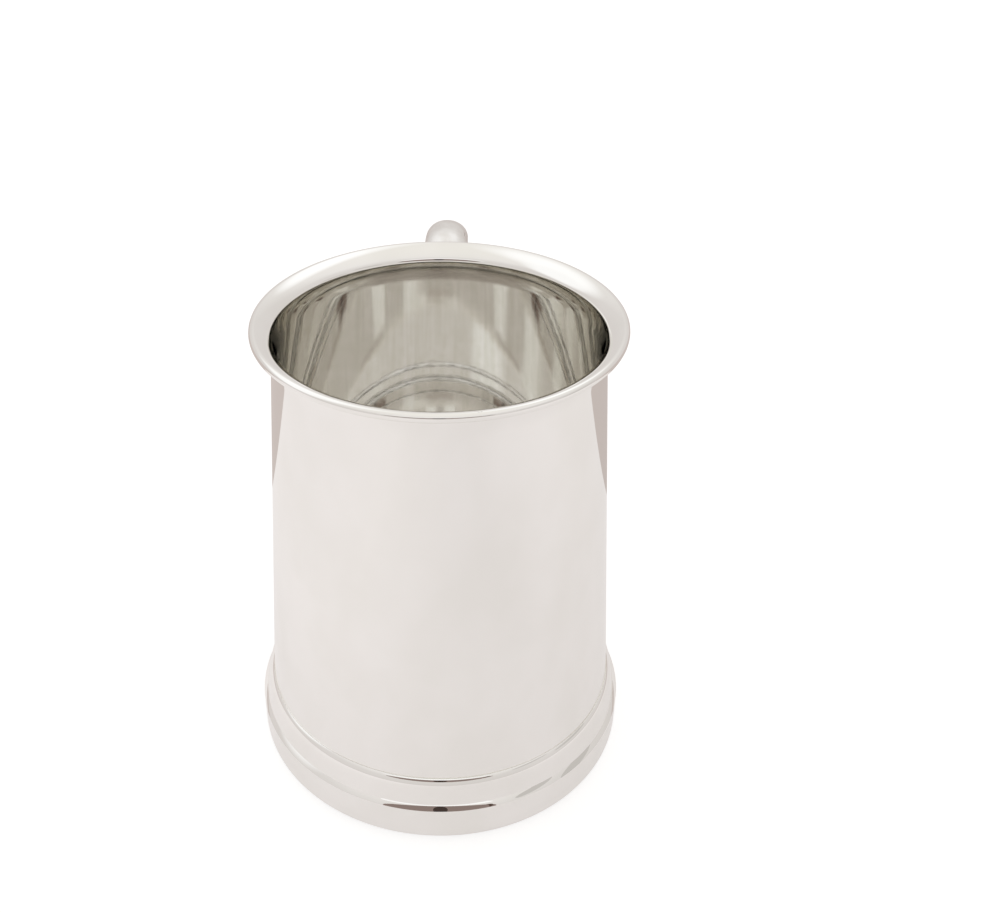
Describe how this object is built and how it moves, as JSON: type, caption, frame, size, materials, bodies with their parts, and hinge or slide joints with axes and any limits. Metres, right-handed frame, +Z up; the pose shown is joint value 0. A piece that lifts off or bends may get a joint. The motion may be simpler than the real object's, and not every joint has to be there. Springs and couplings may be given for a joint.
{
  "type": "silver tankard",
  "caption": "Open pint tankard with a tapered polished body, flared wired lip, stepped hollow foot and a hollow loop handle for drinking.",
  "frame": {"origin": "on the table under the tankard, half way along its length from the front of the foot to the back of the handle", "axes": "+Z up, +Y from the cup towards the handle, +X to the right when the handle is at the back"},
  "size_m": [0.1034, 0.1384, 0.1294],
  "materials": {
    "polished_silver": "polished silver, mirror bright with faint wiping marks",
    "inside_silver": "silver inside the cup, less bright, with a light grey tarnish",
    "unpolished_silver": "silver as drawn, left unpolished where it is hidden under the foot"
  },
  "bodies": {
    "root": {"body_wall": "polished_silver", "rim_wire": "polished_silver", "floor_pan": "inside_silver", "foot_moulding": "polished_silver", "foot_wire": "unpolished_silver", "upper_handle_plate": "polished_silver", "lower_handle_plate": "polished_silver", "handle_outer_half": "polished_silver", "handle_inner_half": "polished_silver"}
  },
  "joints": []
}
